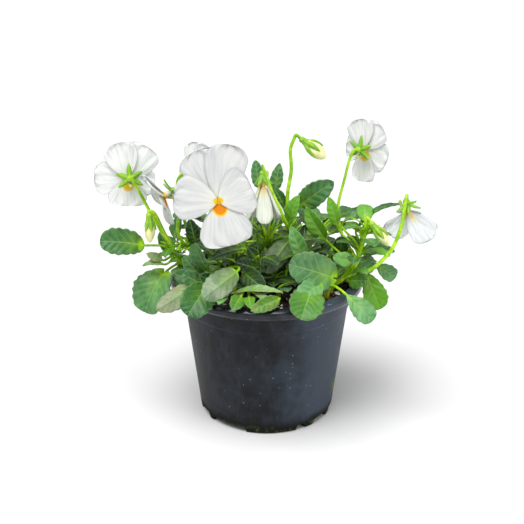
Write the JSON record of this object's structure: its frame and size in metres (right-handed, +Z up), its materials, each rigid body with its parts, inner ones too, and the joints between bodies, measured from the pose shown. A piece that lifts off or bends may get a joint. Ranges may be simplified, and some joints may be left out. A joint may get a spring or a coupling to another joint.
{
  "type": "potted horned violet",
  "caption": "Low leafy horned violet with white, orange-eyed spurred blooms and nodding buds, growing in a black nursery pot that is filled with potting mix.",
  "frame": {"origin": "centre of the pot's foot, on the surface it stands on", "axes": "+Z up, -Y towards the front of the plant, +X to its right"},
  "size_m": [0.1809, 0.116, 0.1603],
  "materials": {
    "pot_plastic": "smooth satin, lightly scuffed",
    "soil": "loose damp peat with bark and perlite grains",
    "green": "soft leaf surface with a slight sheen",
    "petal": "matt, thin, finely veined",
    "bud": "matt, furled petals"
  },
  "bodies": {
    "root": {"pot": "pot_plastic", "soil": "soil", "shoot_left": "green", "shoot_left_back": "green", "shoot_left_front": "green", "shoot_front": "green", "shoot_front_low": "green", "shoot_centre": "green", "shoot_centre_back": "green", "shoot_right": "green", "shoot_right_low": "green", "shoot_right_side": "green", "shoot_back_left": "green", "shoot_back": "green", "shoot_back_right": "green", "shoot_middle": "green", "shoot_middle_low": "green", "shoot_inner": "green", "bloom_left": "petal", "bloom_side": "petal", "bloom_front": "petal", "bloom_behind": "petal", "bloom_centre": "petal", "bloom_high": "petal", "bloom_right": "petal", "bud_left_petals": "bud", "bud_top_petals": "bud", "bud_right_petals": "bud"}
  },
  "joints": []
}
